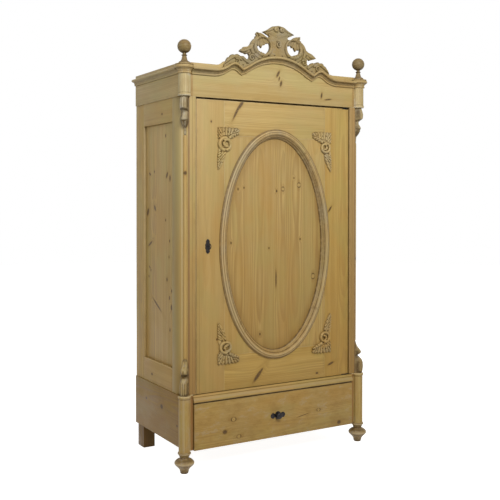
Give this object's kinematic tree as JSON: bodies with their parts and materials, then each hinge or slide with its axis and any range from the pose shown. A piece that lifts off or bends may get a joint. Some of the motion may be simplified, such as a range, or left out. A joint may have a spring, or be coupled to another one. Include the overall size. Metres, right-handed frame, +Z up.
{
  "type": "bonnetiere cabinet",
  "caption": "Tall single-door wooden cupboard with an oval-moulded door, a drawer in the base, canted corners with beads and consoles, ball finials and a pierced crest.",
  "frame": {"origin": "on the floor, under the centre of the cabinet's bounding box", "axes": "+X to the right as seen from the front, +Y from the front to the back, +Z up; the front faces -Y"},
  "size_m": [1.0938, 0.5659, 2.1],
  "materials": {
    "front_pine": "satin",
    "side_pine": "satin",
    "moulded_pine": "satin",
    "carved_pine": "satin",
    "inner_pine": "satin",
    "black_iron": "matte"
  },
  "bodies": {
    "cabinet": {"base_side_left": "side_pine", "base_side_right": "side_pine", "base_back": "inner_pine", "base_post_left": "moulded_pine", "base_post_right": "moulded_pine", "front_foot_left": "moulded_pine", "front_foot_right": "moulded_pine", "rear_feet": "side_pine", "drawer_runner_left": "inner_pine", "drawer_runner_right": "inner_pine", "ledge_moulding": "moulded_pine", "cupboard_floor": "inner_pine", "corner_post_left": "front_pine", "corner_post_right": "front_pine", "back_stile_left": "side_pine", "back_stile_right": "side_pine", "side_rails_left": "side_pine", "side_rails_right": "side_pine", "side_panel_left": "side_pine", "side_panel_right": "side_pine", "back_boards": "inner_pine", "carcass_top": "inner_pine", "shelves": "inner_pine", "shelf_battens": "inner_pine", "half_rounds": "moulded_pine", "upper_consoles": "carved_pine", "lower_consoles": "carved_pine", "lock_strike": "black_iron", "frieze_board": "front_pine", "frieze_sides": "side_pine", "frieze_post_left": "moulded_pine", "frieze_post_right": "moulded_pine", "frieze_back_rail": "side_pine", "cornice_front": "moulded_pine", "cornice_sides": "moulded_pine", "capitals": "moulded_pine", "finials": "moulded_pine", "crest": "carved_pine", "dust_board": "inner_pine"},
    "drawer": {"drawer_front": "front_pine", "drawer_side_left": "inner_pine", "drawer_side_right": "inner_pine", "drawer_back": "inner_pine", "drawer_bottom": "inner_pine", "drawer_knob_plate": "black_iron", "drawer_knob": "black_iron"},
    "door": {"door_stile_lock": "front_pine", "door_stile_hinge": "front_pine", "door_rail_top": "front_pine", "door_rail_bottom": "front_pine", "door_corner_boards": "front_pine", "door_panel": "front_pine", "oval_moulding": "moulded_pine", "door_carvings": "carved_pine", "pivot_hinges": "black_iron", "lock_case": "black_iron", "escutcheon": "black_iron"},
    "bolt": {"lock_bolt": "black_iron"},
    "key": {"door_key": "black_iron"}
  },
  "joints": [
    {"name": "drawer_slide", "type": "slide", "parent": "cabinet", "child": "drawer", "axis": [0, -1, 0], "range_m": [0, 0.35]},
    {"name": "door_hinge", "type": "hinge", "parent": "cabinet", "child": "door", "pos_m": [0.428, -0.224, 1.0385], "axis": [0, 0, 1], "range_deg": [0, 100]},
    {"name": "key_turn", "type": "hinge", "parent": "door", "child": "key", "pos_m": [-0.378, -0.234, 1.038], "axis": [0, 1, 0], "range_deg": [0, 180]},
    {"name": "bolt_slide", "type": "slide", "parent": "door", "child": "bolt", "axis": [-1, 0, 0], "range_m": [0, 0.01]}
  ],
  "couplings": [
    {"joint": "key_turn", "follows": "bolt_slide", "rad_per_m": 314.16}
  ]
}
